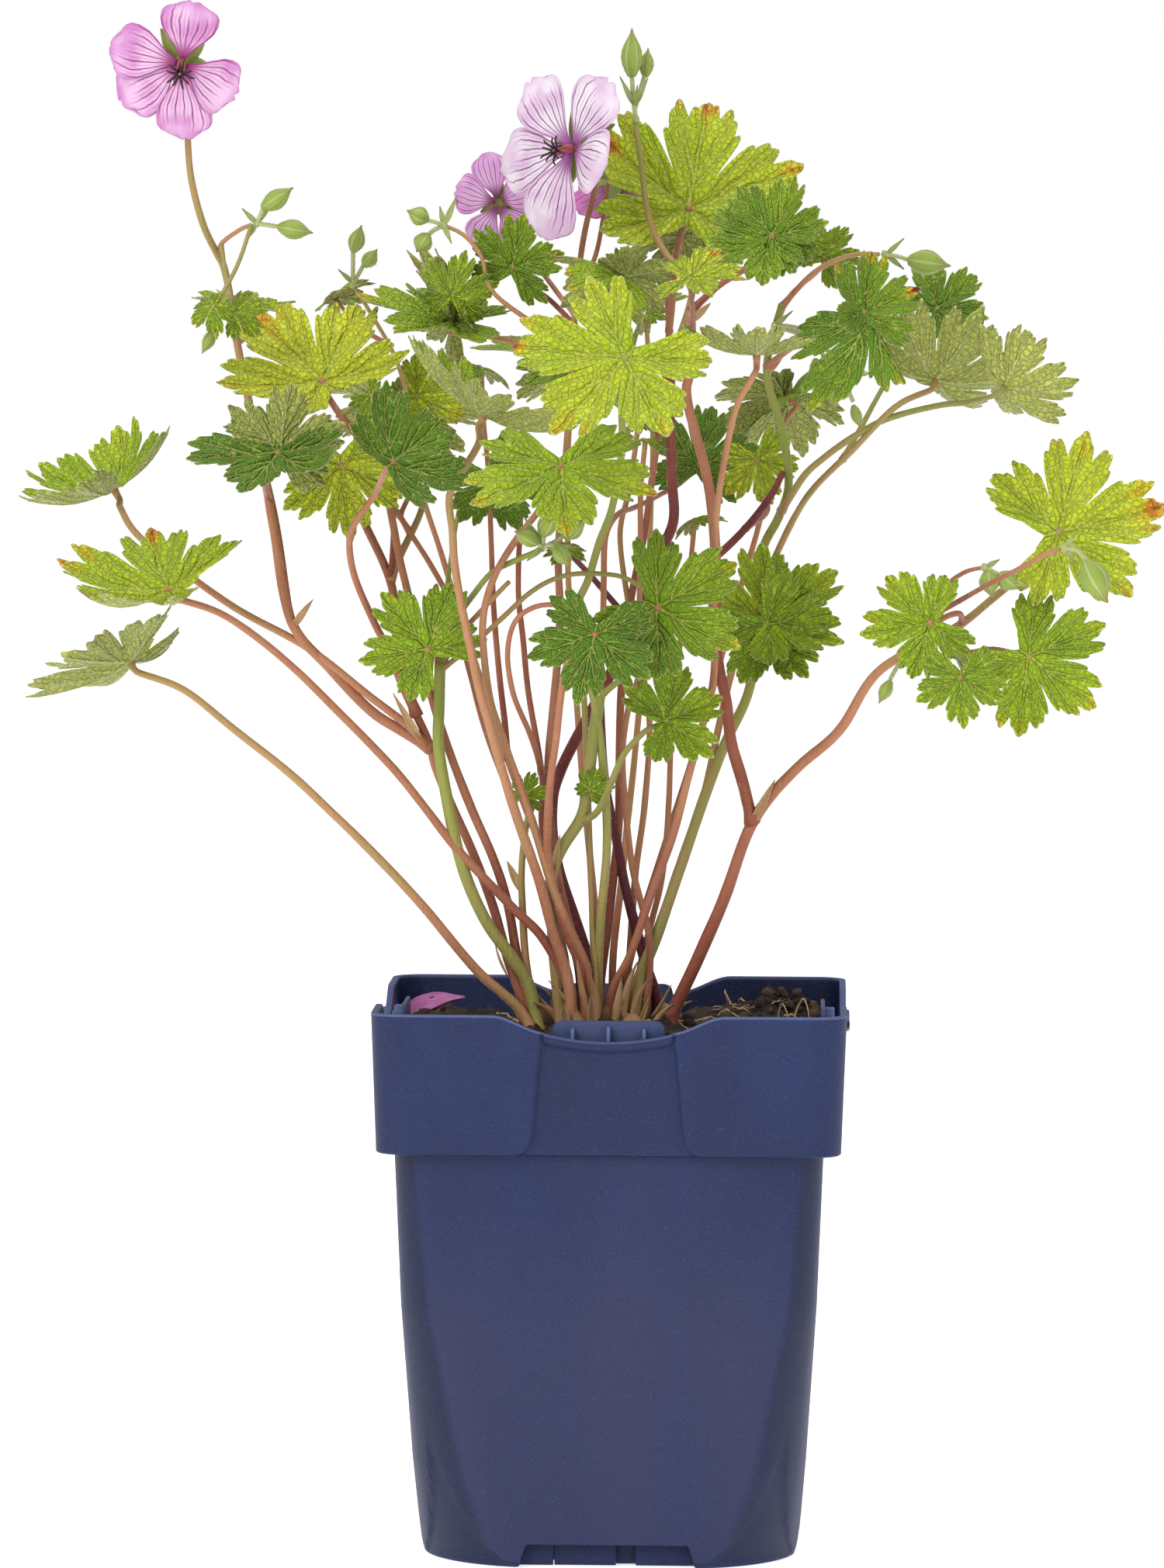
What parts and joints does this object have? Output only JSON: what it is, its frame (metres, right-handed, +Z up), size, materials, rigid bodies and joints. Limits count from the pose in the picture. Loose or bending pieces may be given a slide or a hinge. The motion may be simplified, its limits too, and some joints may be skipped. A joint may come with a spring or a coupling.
{
  "type": "hardy geranium",
  "caption": "Hardy geranium in a square nursery pot: a fan of thin branching stems with lobed, toothed leaves, open lilac flowers and hairy buds, rooted in compost",
  "frame": {"origin": "middle of the pot's flat underside, on the surface that the pot stands on", "axes": "+Z is up, -Y is the front side, +X is to the right seen from the front; the pot's walls are square to X and Y"},
  "size_m": [0.3195, 0.2243, 0.4325],
  "materials": {
    "pot_blue": "fine grained dark blue moulded plastic",
    "compost": "dark brown crumbly compost",
    "stalk": "matt downy stem, brown-red to olive",
    "leaf_green": "soft matt green leaf with sunken veins",
    "petal_pink": "silky lilac with purple veins",
    "calyx_green": "matt downy yellow-green",
    "column_dark": "dusty near-black anthers on a purple column"
  },
  "bodies": {
    "root": {"pot": "pot_blue", "compost": "compost", "crown_stems": "stalk", "leaf_left_upper": "leaf_green", "leaf_left_middle": "leaf_green", "leaf_left_lower": "leaf_green", "leaf_left_flat": "leaf_green", "leaf_left_bright": "leaf_green", "leaf_left_dark": "leaf_green", "leaf_left_edge": "leaf_green", "leaf_mid_low_sheet": "leaf_green", "leaf_mid_yellow": "leaf_green", "leaf_mid_underside": "leaf_green", "leaf_mid_half": "leaf_green", "leaf_mid_backlit": "leaf_green", "leaf_crown_bright": "leaf_green", "leaf_crown_edge": "leaf_green", "leaf_crown_right": "leaf_green", "leaf_crown_dark": "leaf_green", "leaf_mid_round": "leaf_green", "leaf_centre_bright": "leaf_green", "leaf_right_young": "leaf_green", "leaf_right_tuft": "leaf_green", "leaf_right_folded": "leaf_green", "leaf_right_umbrella": "leaf_green", "leaf_right_pale": "leaf_green", "leaf_right_back": "leaf_green", "leaf_right_light": "leaf_green", "leaf_centre_small": "leaf_green", "leaf_centre_dark": "leaf_green", "leaf_low_large": "leaf_green", "leaf_far_right": "leaf_green", "leaf_right_low_a": "leaf_green", "leaf_right_low_b": "leaf_green", "leaf_right_low_c": "leaf_green", "leaf_centre_yellow": "leaf_green", "leaf_centre_hung": "leaf_green", "leaf_low_dark": "leaf_green", "leaf_low_small": "leaf_green", "leaf_low_left": "leaf_green", "leaf_low_right": "leaf_green", "leaf_back_left": "leaf_green", "leaf_back_centre": "leaf_green", "leaf_back_right": "leaf_green", "flower_left_petals": "petal_pink", "flower_left_calyx": "calyx_green", "flower_front_petals": "petal_pink", "flower_front_calyx": "calyx_green", "flower_behind_petals": "petal_pink", "flower_behind_calyx": "calyx_green", "flower_right_petals": "petal_pink", "flower_right_calyx": "calyx_green", "flower_left_column": "column_dark", "flower_front_column": "column_dark", "buds_left": "calyx_green", "bud_top": "calyx_green", "bud_right": "calyx_green", "bud_hairy": "calyx_green", "buds_centre": "calyx_green", "fallen_petal": "petal_pink"}
  },
  "joints": []
}
